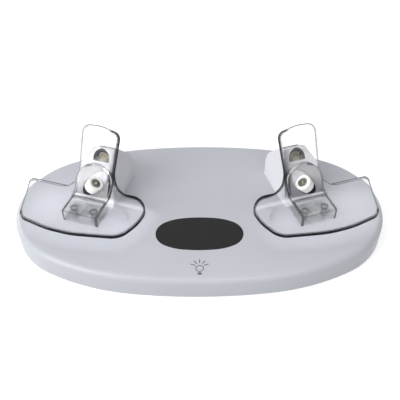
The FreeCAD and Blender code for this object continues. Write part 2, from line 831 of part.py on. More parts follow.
def lead_drop():
    # route inside the clear foot, from the back of the contact to the plate
    below = V(LEAD_KNEE.x, LEAD_KNEE.y, lead_low() - BASE_TOP)
    return [(along(CONTACT_LEN), 0), (along(CONTACT_LEN + LEAD_OUT), LEAD_BEND_R), (LEAD_KNEE, LEAD_BEND_R), (below, 0)]


def round_pipe(route, radius):
    # route: (point, bend radius); straight runs joined by tangent arcs
    edges = []
    last = route[0][0]
    for i in range(1, len(route) - 1):
        p, bend = route[i]
        before, after = route[i - 1][0] - p, route[i + 1][0] - p
        before.normalize()
        after.normalize()
        half = before.getAngle(after) / 2
        reach = bend / math.tan(half)
        middle = before + after
        middle.normalize()
        deep = bend / math.sin(half) - bend
        start, stop = p + before * reach, p + after * reach
        edges.append(Part.LineSegment(last, start).toShape())
        edges.append(Part.Arc(start, p + middle * deep, stop).toShape())
        last = stop
    edges.append(Part.LineSegment(last, route[-1][0]).toShape())
    ring = Part.Wire(Part.makeCircle(radius, route[0][0], route[1][0] - route[0][0]))
    return Part.Wire(edges).makePipeShell([ring], True, False)


def lead_channel():
    return round_pipe(lead_drop(), LEAD_R + LEAD_GAP)


def lead():
    # one four-core lead, laid on the bottom plate and soldered under the board
    route = [(place_point(p, "right"), bend) for p, bend in lead_drop()]
    low = lead_low()
    foot = route[-1][0]
    route[-1] = (foot, LEAD_BEND_R)
    front = board_rear() - BOARD_DEPTH + LEAD_END_RUN
    end = V(LEAD_END_X, front + LEAD_END_RISE, PLATE_TOP + BOARD_LIFT - LEAD_R)
    route.append((V(CRADLE_X - LEAD_SIDE_X, CRADLE_Y + LEAD_SIDE_Y, low), LEAD_SWEEP_R))
    route.append((V(LEAD_END_X, front - LEAD_END_Y, low), LEAD_SWEEP_R))
    route.append((V(LEAD_END_X, front, low), LEAD_BEND_R))
    route.append((end, 0))
    return round_pipe(route, LEAD_R)


def mirrored(shape, side):
    return shape if side == "right" else shape.mirror(V(0, 0, 0), V(1, 0, 0))


def build():
    os.makedirs("parts", exist_ok=True)
    save("base_top_shell", base_top_shell())
    save("base_bottom_plate", base_bottom_plate())
    save("base_screws", base_screws())
    save("mat", mat())
    for side, end, sx, sy in pad_places():
        save("rubber_foot_" + end + "_" + side, rubber_foot(sx, sy))
    save("main_board", main_board())
    save("board_screws", board_screws())
    save("socket_shell", socket_shell())
    save("socket_tongue", socket_tongue())
    save("charge_chip", on_board(CHIP_A, CHIP_SIDE, CHIP_H))
    save("coil_block", on_board(COIL_A, COIL_SIDE, COIL_H))
    save("touch_electrode", touch_electrode())
    for side in ("left", "right"):
        save(side + "_post", place(post(), side))
        save(side + "_post_screws", place(post_screws(), side))
        save(side + "_post_insert", place(post_insert(), side))
        save(side + "_post_insert_screw", place(post_insert_screw(), side))
        save(side + "_cradle", place(cradle(), side))
        save(side + "_cradle_screws", place(cradle_screws(), side))
        save(side + "_contact_barrel", place(contact_barrel(), side))
        save(side + "_contact_ring", place(contact_ring(), side))
        save(side + "_contact_insulator", place(contact_insulator(), side))
        save(side + "_pin_sleeve", place(pin_sleeve(), side))
        save(side + "_contact_pin", place(contact_pin(), side))
        save(side + "_led_board", place(led_board(), side))
        save(side + "_leds", place(leds(), side))
        save(side + "_lead", mirrored(lead(), side))


build()
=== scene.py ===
import math

import bmesh
import bpy
from bpy.props import FloatProperty, FloatVectorProperty, PointerProperty
from mathutils import Matrix, Vector


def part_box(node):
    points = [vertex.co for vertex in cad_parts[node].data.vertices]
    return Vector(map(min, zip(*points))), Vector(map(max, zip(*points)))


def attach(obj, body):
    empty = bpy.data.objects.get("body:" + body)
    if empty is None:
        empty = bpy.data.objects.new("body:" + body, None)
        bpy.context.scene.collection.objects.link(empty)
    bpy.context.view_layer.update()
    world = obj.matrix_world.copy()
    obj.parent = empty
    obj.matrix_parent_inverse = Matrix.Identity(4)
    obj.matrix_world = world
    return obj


bl_info = {
    "name": "Charging stand looks",
    "version": (1, 0, 0),
    "blender": (4, 5, 0),
    "location": "View3D > Sidebar > Stand",
    "description": "Dresses a two-cradle charging stand and sets up its studio",
    "category": "Object",
}

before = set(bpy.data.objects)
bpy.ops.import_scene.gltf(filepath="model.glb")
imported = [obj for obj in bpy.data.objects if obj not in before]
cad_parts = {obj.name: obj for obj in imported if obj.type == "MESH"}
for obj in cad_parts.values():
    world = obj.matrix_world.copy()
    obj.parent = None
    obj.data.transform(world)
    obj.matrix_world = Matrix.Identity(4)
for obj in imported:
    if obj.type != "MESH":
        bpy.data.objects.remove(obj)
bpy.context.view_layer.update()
SIDES = ("left", "right")
MM = 0.001
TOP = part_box("base_top_shell")[1].z
NEAR = 0.1 * MM

# Where the clear sheet lies alone, and where its cut edges get the dark painted shade
SHEET_AHEAD = -12 * MM
SHEET_REACH = 2 * MM
DARK_AHEAD = -20 * MM
DARK_INNER = (-12.5 * MM, -8.5 * MM)
HIGH_ON_TONGUE = 40 * MM

# Least share of a facing that makes a cut edge of the sheet
SIDE_FACING = 0.03
REAR_WALL_FACING = 0.5
REAR_FACING = 0.36
TOP_FACING = 0.6
WALL_FACING = 0.3

# Widths and reaches of the painted shade lines on the foot and the hub
SIDE_LINE = 1.8 * MM
CORNER_LINE = 0.9 * MM
RING_WIDTH = 0.5 * MM
RING_DEPTH = 2 * MM
ARCH_DEPTH = 2 * MM
CROWN_SIDES = (1 * MM, 6 * MM)
CROWN_LOW = 26 * MM
FACE_REACH = 0.4 * MM
FLANK_REAR_FACING = 0.3
FLANK_SIDE_FACING = 0.1
SEAT_SIDE = (0.6, -0.8)
SEAT_FROM = 1 * MM
SEAT_GAP = 0.15 * MM
SEAT_DEPTH = 0.9 * MM
FRONT_SHADE_TOP = 24 * MM
STEP_RISE = 1.5 * MM
STEP_DEPTH = 3 * MM

# Turns of the normal, in degrees, that count as an edge
EDGE_TURN = 8
THIN_TURN = 10

# The post's window with its painted shade and painted sill reflection, the insert in it with its painted
# highlight ring, and the contact's body with its painted shade inside the hub
WINDOW_DEPTH = (0.12 * MM, 9 * MM)
SILL_FADE = (1 * MM, 4 * MM)
LEVEL_FACING = 0.5
INSERT_HIGHLIGHT_RING = (3.3 * MM, 4.1 * MM)
HIDDEN_FROM = 0.2 * MM
BODY_RIM = 0.7 * MM

# Sizes of the spots in the plastics
CLOUD = 60 * MM
FINE = 0.3 * MM

RAY_TURNS = (-70, -36, 0, 36, 70)


# Shader values as Python numbers


class Wire:
    """One shader value. Arithmetic on it adds Math nodes."""

    def __init__(self, surface, socket):
        self.surface = surface
        self.socket = socket

    def math(self, operation, first, second=0.0):
        return self.surface.math(operation, first, second)

    def __add__(self, other):
        return self.math("ADD", self, other)

    __radd__ = __add__

    def __sub__(self, other):
        return self.math("SUBTRACT", self, other)

    def __rsub__(self, other):
        return self.math("SUBTRACT", other, self)

    def __mul__(self, other):
        return self.math("MULTIPLY", self, other)

    __rmul__ = __mul__

    def __gt__(self, other):
        return self.math("GREATER_THAN", self, other)

    def __lt__(self, other):
        return self.math("LESS_THAN", self, other)

    def size(self):
        return self.math("ABSOLUTE", self)

    def top(self, other):
        return self.math("MAXIMUM", self, other)


class Surface:
    """A material in the making, or the surroundings."""

    def __init__(self, name, tree=None):
        self.material = None
        if tree is None:
            self.material = bpy.data.materials.new(name)
            self.material.use_nodes = True
            tree = self.material.node_tree
        self.tree = tree
        tree.nodes.clear()

    def add(self, kind, settings=None, inputs=None):
        made = self.tree.nodes.new(kind)
        for key, value in (settings or {}).items():
            setattr(made, key, value)
        for key, value in (inputs or {}).items():
            if isinstance(value, Wire):
                self.tree.links.new(value.socket, made.inputs[key])
            else:
                made.inputs[key].default_value = value
        return made

    def node(self, kind, settings=None, inputs=None, output=0):
        return Wire(self, self.add(kind, settings, inputs).outputs[output])

    def math(self, operation, first, second=0.0):
        return self.node("ShaderNodeMath", {"operation": operation}, {0: first, 1: second})

    def place(self):
        return self.node("ShaderNodeTexCoord", output="Object")

    def normal(self):
        return self.node("ShaderNodeTexCoord", output="Normal")

    def axes(self, vector):
        split = self.add("ShaderNodeSeparateXYZ", None, {0: vector})
        return [Wire(self, split.outputs[i]) for i in range(3)]

    def noise(self, size, detail=2.0, rough=0.5):
        inputs = {"Vector": self.place(), "Scale": 1 / size, "Detail": detail, "Roughness": rough}
        return self.node("ShaderNodeTexNoise", None, inputs, "Fac")

    def spread(self, value, low, high, to_low=0.0, to_high=1.0):
        inputs = {0: value, 1: low, 2: high, 3: to_low, 4: to_high}
        return self.node("ShaderNodeMapRange", {"interpolation_type": "SMOOTHSTEP"}, inputs)

    def blend(self, share, first, second):
        inputs = {0: share, 6: first, 7: second}
        return self.node("ShaderNodeMix", {"data_type": "RGBA"}, inputs, 2)

    def shades(self, share, color, least, most):
        return self.blend(share, rgba(color, least), rgba(color, most))

    def bump(self, height, depth, strength):
        inputs = {"Height": height, "Distance": depth, "Strength": strength}
        return self.node("ShaderNodeBump", None, inputs)

    def seen_directly(self):
        light = self.add("ShaderNodeLightPath")
        kinds = ("Is Camera Ray", "Is Glossy Ray", "Is Transmission Ray")
        camera, glossy, through = [Wire(self, light.outputs[kind]) for kind in kinds]
        return camera.top(glossy).top(through)

    def principled(self, **inputs):
        named = {key.replace("_", " "): value for key, value in inputs.items()}
        return self.node("ShaderNodeBsdfPrincipled", None, named)

    def output(self, shader):
        self.add("ShaderNodeOutputMaterial", None, {"Surface": shader})
        return self.material

    def finish(self, **inputs):
        return self.output(self.principled(**inputs))


def rgba(color, factor=1.0):
    return (color[0] * factor, color[1] * factor, color[2] * factor, 1.0)


def around(middle, swing, noise):
    return middle + swing * (noise - 0.5)


def between(value, low, high):
    return (value > low) * (value < high)


# Settings a user may change


def color_prop(name, description, default):
    return FloatVectorProperty(
        name=name, description=description, default=default, subtype="COLOR", size=3, min=0.0, max=1.0
    )


def length_prop(name, description, default):
    return FloatProperty(name=name, description=description, default=default, unit="LENGTH", precision=5)


def factor_prop(name, description, default):
    return FloatProperty(
        name=name, description=description, default=default, subtype="FACTOR", min=0.0, max=1.0
    )


def angle_prop(name, description, degrees):
    return FloatProperty(name=name, description=description, default=math.radians(degrees), subtype="ANGLE")


def number_prop(name, description, default):
    return FloatProperty(name=name, description=description, default=default)


class StandPlastics(bpy.types.PropertyGroup):
    shell: color_prop("Shell", "Colour of the base's upper shell", (0.47, 0.485, 0.53))
    shell_gloss: factor_prop("Shell roughness", "Roughness of the satin shell", 0.34)
    underside: color_prop("Underside", "Colour of the bottom plate", (0.42, 0.43, 0.46))
    post: color_prop("Post", "Colour of the two posts", (0.70, 0.70, 0.735))
    # Painted light in a post's window: a near-black painted shade on its walls, then a painted reflection on
    # its sill, lighter in the middle and shaded at its ends
    window_shade: color_prop("Window wall", "Colour of the wall of a post's window", (0.05, 0.05, 0.047))
    sill: color_prop("Sill", "Colour of the middle of the window's sill", (0.42, 0.41, 0.33))
    sill_end_shade: color_prop("Sill ends", "Colour of the ends of the window's sill", (0.17, 0.17, 0.14))
    barrel: color_prop("Contact", "Colour of the contact's round body", (0.93, 0.93, 0.93))
    # Painted shade on the contact's body where it sits inside the clear hub
    barrel_shade: color_prop("Contact inside", "Colour of the body inside the hub", (0.13, 0.13, 0.14))
    insulator: color_prop("Insulator", "Colour of the contact's insulator", (0.11, 0.11, 0.095))
    mat: color_prop("Mat", "Colour of the oval mat", (0.009, 0.009, 0.0092))
    rubber: color_prop("Feet", "Colour of the rubber feet", (0.05, 0.05, 0.053))


class ClearLook(bpy.types.PropertyGroup):
    tint: color_prop("Tint", "Colour of light through the clear plastic", (0.942, 0.943, 0.952))
    # Painted shade: this near-black colour is mixed over the clear plastic at the sheet's cut edges, along
    # the foot's corners, round its holes and on the hub, standing in for the dark lines and shade that
    # refraction makes; the factors from the pale rim to the step set how strong it is in each place
    edge: color_prop("Edge", "Colour at the cut edges of the sheet", (0.012, 0.012, 0.016))
    rough: factor_prop("Roughness", "Roughness of the polished plastic", 0.0)
    shade: factor_prop("Shade", "How dark the clear plastic's shadow is", 0.03)
    pale: factor_prop("Pale rim", "How strong the rim line at the rear and the outside is", 0.9)
    corner: factor_prop("Foot lines", "How strong the lines along the foot's corners are", 0.85)
    front_line: factor_prop("Front line", "The foot's upper front line, as a share of the others", 0.3)
    mouth: factor_prop("Hole rings", "How strong the rings round the holes are", 0.7)
    arch: factor_prop("Hub lines", "How strong the lines along the hub's edges are", 0.4)
    # Painted shade on the hub's flanks and front, and a painted shadow on the strip between the foot and the
    # hub's front
    flank: factor_prop("Flanks", "How dark the hub's flanks are", 0.35)
    front_shade: factor_prop("Veil above", "How dark the hub's front is at its top", 0.28)
    front_shade_low: factor_prop("Veil below", "How dark the hub's front is at the foot", 0.55)
    step: factor_prop("Step", "How dark the strip between the foot and the hub's front is", 0.4)
    plain: factor_prop("Plain foot", "How much is seen straight through the foot", 0.92)
    plain_hub: factor_prop("Plain hub", "How much is seen straight through the hub", 0.05)
    plain_rim: factor_prop("Plain rim", "How much is seen straight through the pale cut edges", 0.85)
    line: length_prop("Line width", "Width of a dark line beside an edge", 3.0 * MM)


class CradlePlan(bpy.types.PropertyGroup):
    out: length_prop("Out", "Middle of a clear foot, from the middle of the base", 84 * MM)
    back: length_prop("Back", "Middle of a clear foot, backwards", -11.5 * MM)
    turn: angle_prop("Turn", "How far a cradle turns to the middle", 18)
    foot: length_prop("Foot height", "Height of the clear foot", 8.5 * MM)
    front: length_prop("Foot front", "Front of the clear foot", -10.2 * MM)
    half: length_prop("Half width", "Half the width of the foot and the hub", 14 * MM)
    hole: length_prop("Hole radius", "Radius of the holes in the foot", 2.3 * MM)
    holes: length_prop("Hole spacing", "Distance between the holes", 15.4 * MM)
    hole_out: length_prop("Holes out", "Middle of the holes, outwards", -1.0 * MM)
    hole_back: length_prop("Holes back", "Middle of the holes, backwards", -3.7 * MM)
    hub: length_prop("Hub", "Where the hub's front leaves the foot", 7 * MM)
    hub_lean: angle_prop("Hub lean", "How far the hub's front leans back", 30)
    sheet: length_prop("Sheet", "Thickness of the sheet", 2.4 * MM)
    skirt: length_prop("Skirt height", "Height of the sheet's level part", 10.5 * MM)
    tongue: length_prop("Tongue", "Where the tongue's line meets the skirt", 19.4 * MM)
    tongue_lean: angle_prop("Tongue lean", "How far the tongue leans back", 19)
    contact: FloatVectorProperty(
        name="Contact", description="Middle of the contact's face",
        default=(-3.7 * MM, 14.6 * MM, 20.4 * MM), unit="LENGTH",
    )
    aim: FloatVectorProperty(
        name="Aim", description="Direction of the contact", default=(-0.61, -0.06, 0.79), subtype="DIRECTION"
    )
    bore: length_prop("Bore", "Radius of the contact's seat", 6.1 * MM)
    post: length_prop("Post", "Where the post's front meets the base", 12.4 * MM)
    post_lean: angle_prop("Post lean", "How far the post's front leans back", 30.3)
    window: length_prop("Window", "Half the width of the post's window", 6.4 * MM)
    window_out: length_prop("Window out", "Middle of the window, outwards", -2.4 * MM)
    sill: length_prop("Sill", "Height of the window's lower edge", 29.4 * MM)
    spring: length_prop("Spring", "Height where the window's arch starts", 31.2 * MM)
    insert: length_prop("Insert", "Height of the metal insert's axis", 29.8 * MM)


class MetalLook(bpy.types.PropertyGroup):
    steel: color_prop("Steel", "Screws and socket", (0.46, 0.46, 0.47))
    nickel: color_prop("Nickel", "Ring of the contact", (0.30, 0.30, 0.26))
    brass: color_prop("Brass", "Insert in the post", (0.42, 0.40, 0.31))
    # Painted highlight: a bright ring on the insert's end, with painted shade round it in the next colour
    bright: color_prop("Turned ring", "Ring turned in the insert's end", (0.75, 0.75, 0.74))
    dark: color_prop("Insert rim", "Rim of the insert", (0.02, 0.02, 0.02))
    gold: color_prop("Pin", "Spring pin", (0.46, 0.45, 0.38))
    copper: color_prop("Copper", "Touch electrode", (0.64, 0.35, 0.22))


class BoardLook(bpy.types.PropertyGroup):
    mask: color_prop("Mask", "Solder mask between the tracks", (0.012, 0.10, 0.055))
    track: color_prop("Track", "Solder mask over the tracks", (0.03, 0.20, 0.11))
    weave: color_prop("Weave", "Glass weave under the mask", (0.05, 0.26, 0.16))
    chip: color_prop("Chip", "Body of the chip", (0.025, 0.025, 0.027))
    coil: color_prop("Coil", "Body of the coil", (0.06, 0.06, 0.065))
    tongue: color_prop("Socket tongue", "Plastic in the power socket", (0.02, 0.02, 0.02))
    lens: color_prop("Lens", "Lenses of the lights", (0.80, 0.72, 0.34))
    sleeve: color_prop("Lead", "Sleeve of a lead", (0.62, 0.62, 0.64))


class TouchMark(bpy.types.PropertyGroup):
    center: length_prop("Centre", "Place of the bulb, backwards from the middle", -64.5 * MM)
    bulb: length_prop("Bulb radius", "Radius of the bulb's ring", 2.6 * MM)
    line: length_prop("Line width", "Width of the drawn lines", 0.7 * MM)
    thick: length_prop("Thickness", "Thickness of the print", 0.03 * MM)
    ray_rise: length_prop("Ray centre", "How far behind the bulb the rays meet", 1.7 * MM)
    ray_from: length_prop("Ray start", "Inner end of a ray", 3.1 * MM)
    ray_to: length_prop("Ray end", "Outer end of a ray", 6.7 * MM)
    ink: color_prop("Ink", "Colour of the mark", (0.11, 0.115, 0.14))


class StudioSettings(bpy.types.PropertyGroup):
    distance: length_prop("Distance", "Camera distance from the middle of the footprint", 0.44)
    rise: angle_prop("Elevation", "Camera height above the table", 44)
    roll: angle_prop("Roll", "Turn about the line of sight", -0.29)
    lens: number_prop("Lens", "Focal length in millimetres", 50.67)
    film: number_prop("Film", "Width of the film in millimetres", 36)
    shift_right: number_prop("Shift right", "Shift of the framing, in film widths", 0.0014)
    shift_up: number_prop("Shift up", "Shift of the framing, in film widths", 0.0534)
    ambient: number_prop("Ambient", "Strength of the surrounding light", 0.45)
    key: number_prop("Key", "Power of the lamp at the left", 9.3)
    front: number_prop("Front", "Power of the lamp in front", 0.58)
    top: number_prop("Top", "Power of the strip lamp above", 1.3)
    rim: number_prop("Rim", "Power of the low lamp behind the left end", 1.7)
    cloth: factor_prop("Floor", "Brightness of the floor's cloth", 0.62)
    glow: factor_prop("Floor glow", "Light added to the floor where it is seen", 0.6)


# Finishes


def satin_plastic(name, color, rough, grain=0.35 * MM, depth=0.012 * MM):
    s = Surface(name)
    cloud = s.noise(CLOUD, 3.0)
    fine = s.noise(grain, 2.0, 0.6)
    tone = s.shades(s.spread(cloud, 0.35, 0.65), color, 0.985, 1.01)
    haze = around(around(rough, 0.06, cloud), 0.05, fine)
    return s.finish(Base_Color=tone, Roughness=haze, Normal=s.bump(fine, depth, 0.5))


def soft_rubber(name, color, rough=0.72):
    s = Surface(name)
    pores = s.noise(0.5 * MM, 4.0, 0.65)
    worn = s.noise(14 * MM, 3.0)
    tone = s.shades(s.spread(worn, 0.35, 0.7), color, 0.92, 1.12)
    haze = around(rough, 0.10, pores)
    grain = s.bump(pores, 0.03 * MM, 0.6)
    return s.finish(Base_Color=tone, Roughness=haze, Normal=grain, Specular_IOR_Level=0.25)


def turned_metal(name, color, rough=0.3):
    s = Surface(name)
    streak = s.noise(0.25 * MM, 3.0, 0.6)
    stain = s.noise(3 * MM, 2.0)
    tone = s.shades(s.spread(stain, 0.3, 0.7), color, 0.9, 1.08)
    grain = s.bump(streak, 0.006 * MM, 0.5)
    return s.finish(Base_Color=tone, Metallic=1.0, Roughness=around(rough, 0.16, streak), Normal=grain)


def dull_plastic(name, color, rough=0.5):
    s = Surface(name)
    grain = s.noise(0.4 * MM, 2.0)
    tone = s.shades(grain, color, 0.93, 1.07)
    haze = around(rough, 0.08, grain)
    return s.finish(Base_Color=tone, Roughness=haze, Normal=s.bump(grain, 0.01 * MM, 0.4))


def circuit_board(name, look):
    s = Surface(name)
    weave = s.noise(0.9 * MM, 1.0)
    bricks = {"Vector": s.place(), "Scale": 240.0, "Mortar Size": 0.03, "Mortar Smooth": 0.1}
    track = s.node("ShaderNodeTexBrick", {"offset": 0.5}, bricks, "Fac")
    tone = s.blend(track, rgba(look.mask), rgba(look.track))
    tone = s.blend(weave * 0.15, tone, rgba(look.weave))
    return s.finish(Base_Color=tone, Roughness=0.34 + 0.1 * weave, Normal=s.bump(track, 0.03 * MM, 0.5))


def own_axes(s, plan, side, value, turned_only=False):
    # along the clear piece: out from the middle, back from the foot, up from the base's top
    x, y, z = s.axes(value)
    if side == "left":
        x = -1 * x
    if not turned_only:
        x, y, z = x - plan.out, y - plan.back, z - TOP
    c, t = math.cos(plan.turn), math.sin(plan.turn)
    return c * x + t * y, c * y - t * x, z


def near_edge(s, reach, turn):
    rounded = s.node("ShaderNodeBevel", {"samples": 4}, {"Radius": reach})
    inputs = {0: rounded, 1: s.normal()}
    same = s.node("ShaderNodeVectorMath", {"operation": "DOT_PRODUCT"}, inputs, "Value")
    return same < math.cos(math.radians(turn))


def lean_of(angle, back, up, foot):
    # distance behind a plane that leans back from a line at this place and height
    return back - foot[0] - (up - foot[1]) * math.tan(angle)


def from_contact(plan, out, back, up):
    # depth along the contact's axis, and the square of the distance from that axis
    u, v, w = [p - q for p, q in zip((out, back, up), plan.contact)]
    axis = Vector(plan.aim).normalized()
    deep = u * axis.x + v * axis.y + w * axis.z
    return deep, u * u + v * v + w * w - deep * deep


def hub_face(plan, back, up):
    return lean_of(plan.hub_lean, back, up, (plan.hub, plan.foot))


def cut_edges(facing, up):
    # the narrow faces round the sheet, by the way that they face
    out_n, back_n, up_n = facing
    wall = up_n.size() < WALL_FACING
    cut = (out_n.size() > SIDE_FACING).top((back_n.size() > REAR_WALL_FACING) * wall)
    cut = cut.top(back_n > REAR_FACING)
    return cut.top((up > HIGH_ON_TONGUE) * (up_n > TOP_FACING))


def foot_shade_lines(look, plan, out, back, up):
    # painted shade: dark lines along the foot's corners and dark rings round its holes, standing in for
    # refraction
    at_side = out.size() > plan.half - SIDE_LINE
    at_front = back < plan.front + CORNER_LINE
    at_top = up > plan.foot - CORNER_LINE
    lines = (at_side * at_front.top(at_top)).top(look.front_line * at_front * at_top)
    lines = look.corner * lines
    for hand in (-1, 1):
        u = out - plan.hole_out - hand * plan.holes / 2
        v = back - plan.hole_back
        ring = (u * u + v * v < (plan.hole + RING_WIDTH) ** 2) * (up > plan.foot - RING_DEPTH)
        lines = lines.top(look.mouth * ring)
    return lines


def hub_shade_lines(s, look, plan, facing, place, edge):
    # painted shade: dark lines along the hub's edges, shade on its flanks and under the seat's lower side, a
    # painted shadow on the strip above the foot, and painted shade over its front
    out, back, up = place
    out_n, back_n, _ = facing
    face = hub_face(plan, back, up)
    arch = edge * (face < ARCH_DEPTH)
    crown = arch * between(out, *CROWN_SIDES) * (up > CROWN_LOW)
    flank = (face > FACE_REACH) * (back_n.size() < FLANK_REAR_FACING) * (out_n.size() > FLANK_SIDE_FACING)
    _, across = from_contact(plan, out, back, up)
    lower = SEAT_SIDE[0] * (out - plan.contact[0]) + SEAT_SIDE[1] * (up - plan.contact[2])
    seat = (lower > SEAT_FROM) * (across < (plan.bore + SEAT_GAP) ** 2) * (face < SEAT_DEPTH)
    front_shade = (face.size() < FACE_REACH) * s.spread(up, plan.foot, FRONT_SHADE_TOP, look.front_shade_low, look.front_shade)
    step = (up < plan.skirt + STEP_RISE) * (face.size() < STEP_DEPTH)
    lines = (look.arch * arch).top(crown).top(look.flank * flank).top(seat)
    return lines.top(front_shade).top(look.step * step)


def clear_plastic(name, look, plan, side):
    s = Surface(name)
    facing = own_axes(s, plan, side, s.normal(), turned_only=True)
    place = own_axes(s, plan, side, s.place())
    out, back, up = place
    edge = near_edge(s, look.line, EDGE_TURN)
    skin = plan.sheet / 2 + NEAR

    # painted shade at the sheet's cut edges, standing in for refraction: dark along the front and the inner
    # side, pale elsewhere
    behind = lean_of(plan.tongue_lean, back, up, (plan.tongue, plan.skirt))
    beside = out.size() > plan.half
    sheet = (up > plan.skirt - skin) * (back < SHEET_AHEAD).top(beside).top(behind > -SHEET_REACH)
    cut = cut_edges(facing, up)
    dark_side = (back < DARK_AHEAD).top(s.spread(out, *DARK_INNER, 1.0, 0.0))
    dark = sheet * dark_side * cut.top(edge)
    pale = sheet * (1.0 - dark_side)
    thin = pale * near_edge(s, look.line / 3, THIN_TURN)

    # painted shade on the foot and the hub
    low = up < plan.foot + NEAR
    hub = (1.0 - low) * (out.size() < plan.half) * (behind < -skin)
    on_foot = low * foot_shade_lines(look, plan, out, back, up)
    on_hub = hub * hub_shade_lines(s, look, plan, facing, place, edge)

    # how much of the near-black painted shade covers the clear plastic
    share = dark.top(look.pale * thin).top(on_foot).top(on_hub)
    straight = (look.plain * low).top(look.plain_hub * hub).top(look.plain_rim * pale * cut)
    shadow = s.node("ShaderNodeLightPath", output="Is Shadow Ray")
    clear = s.principled(
        Base_Color=rgba(look.tint),
        Roughness=look.rough,
        Transmission_Weight=1.0,
        IOR=1.49,
        Alpha=(1.0 - (1.0 - look.shade) * shadow) * (1.0 - straight),
    )
    # the near-black painted shade
    shade_black = s.principled(Base_Color=rgba(look.edge), Roughness=0.16, Specular_IOR_Level=0.1)
    return s.output(s.node("ShaderNodeMixShader", None, {0: share, 1: clear, 2: shade_black}))


def in_window(plan, out, back, up):
    behind = lean_of(plan.post_lean, back, up, (plan.post, 0.0))
    aside = out - plan.window_out
    above = (up - plan.spring).top(0.0)
    arch = aside * aside + above * above < (plan.window + NEAR) ** 2
    return arch * (up > plan.sill - NEAR) * between(behind, *WINDOW_DEPTH)


def post_plastic(name, look, plan, side):
    # white outside, with painted shade on the window's walls and a painted reflection on its sill, lighter in
    # the middle
    s = Surface(name)
    out, back, up = own_axes(s, plan, side, s.place())
    _, _, up_n = own_axes(s, plan, side, s.normal(), turned_only=True)
    fine = s.noise(FINE, 2.0, 0.6)
    cloud = s.noise(CLOUD, 3.0)
    to_end = s.spread((out - plan.window_out).size(), *SILL_FADE)
    sill = s.blend(to_end, rgba(look.sill), rgba(look.sill_end_shade))
    window_shade = s.blend(up_n > LEVEL_FACING, rgba(look.window_shade), sill)
    tone = s.shades(s.spread(cloud, 0.35, 0.65), look.post, 0.985, 1.01)
    tone = s.blend(in_window(plan, out, back, up), tone, window_shade)
    return s.finish(Base_Color=tone, Roughness=around(0.34, 0.05, fine), Normal=s.bump(fine, 0.008 * MM, 0.5))


def contact_body(name, look, plan, side):
    # white where it stands out of the hub, with painted shade where it sits inside the clear hub
    s = Surface(name)
    out, back, up = own_axes(s, plan, side, s.place())
    deep, _ = from_contact(plan, out, back, up)
    inside_hub_shade = (hub_face(plan, back, up) > HIDDEN_FROM) * (deep < -BODY_RIM)
    fine = s.noise(FINE, 2.0, 0.6)
    tone = s.blend(inside_hub_shade, rgba(look.barrel), rgba(look.barrel_shade))
    return s.finish(Base_Color=tone, Roughness=around(0.3, 0.05, fine), Normal=s.bump(fine, 0.004 * MM, 0.5))


def insert_metal(name, look, plan, side):
    # a brass middle, a painted highlight ring and painted shade outside it
    s = Surface(name)
    out, _, up = own_axes(s, plan, side, s.place())
    u, v = out - plan.window_out, up - plan.insert
    far = s.math("SQRT", u * u + v * v)
    streak = s.noise(0.25 * MM, 3.0, 0.6)
    tone = s.blend(far > INSERT_HIGHLIGHT_RING[1], rgba(look.brass), rgba(look.dark))
    tone = s.blend(between(far, *INSERT_HIGHLIGHT_RING), tone, rgba(look.bright))
    grain = s.bump(streak, 0.006 * MM, 0.5)
    return s.finish(Base_Color=tone, Metallic=1.0, Roughness=around(0.3, 0.16, streak), Normal=grain)


def wear(material, *names):
    for name in names:
        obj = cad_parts[name]
        obj.data.materials.clear()
        obj.data.materials.append(material)


# Meshes of the touch mark and the floor


def flat_piece(name, material, mesh):
    bmesh.ops.remove_doubles(mesh, verts=mesh.verts, dist=1e-7)
    bmesh.ops.recalc_face_normals(mesh, faces=mesh.faces)
    data = bpy.data.meshes.new(name)
    mesh.to_mesh(data)
    mesh.free()
    data.materials.append(material)
    obj = bpy.data.objects.new(name, data)
    bpy.context.scene.collection.objects.link(obj)
    return obj


def is_upright(edge, height):
    return abs(edge.verts[0].co.z - edge.verts[1].co.z) > height / 2


def bar(mesh, width, length, height, place):
    before = set(mesh.verts)
    made = bmesh.ops.create_cube(mesh, size=1.0)["verts"]
    bmesh.ops.scale(mesh, verts=made, vec=(width, length, height))
    upright = [e for e in mesh.edges if e.verts[0] in made and is_upright(e, height)]
    bmesh.ops.bevel(
        mesh, geom=upright, offset=width * 0.45, segments=4, profile=0.5, affect="EDGES", material=-1
    )
    fresh = [v for v in mesh.verts if v not in before]
    bmesh.ops.transform(mesh, matrix=place, verts=fresh)


def ring(mesh, center, radius, width, height):
    inner, outer = radius - width / 2, radius + width / 2
    corners = [(inner, 0), (outer, 0), (outer, height), (inner, height)]
    verts = [mesh.verts.new(center + Vector((u, 0, h - height / 2))) for u, h in corners]
    edges = [mesh.edges.new((verts[i - 1], verts[i])) for i in range(4)]
    bmesh.ops.spin(
        mesh, geom=verts + edges, cent=center, axis=(0, 0, 1), angle=2 * math.pi, steps=48, use_merge=True
    )


class STAND_OT_base(bpy.types.Operator):
    """Dress the base, its plate, its feet and the mat"""

    bl_idname = "stand.base"
    bl_label = "Dress base"

    def execute(self, context):
        look = context.scene.stand_plastics
        plate = satin_plastic("plate_texture", look.underside, 0.55, grain=0.8 * MM, depth=0.05 * MM)
        feet = [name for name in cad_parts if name.startswith("rubber_foot")]
        wear(satin_plastic("satin_shell", look.shell, look.shell_gloss), "base_top_shell")
        wear(plate, "base_bottom_plate")
        wear(soft_rubber("mat_rubber", look.mat, 0.66), "mat")
        wear(soft_rubber("foot_rubber", look.rubber), *feet)
        return {"FINISHED"}


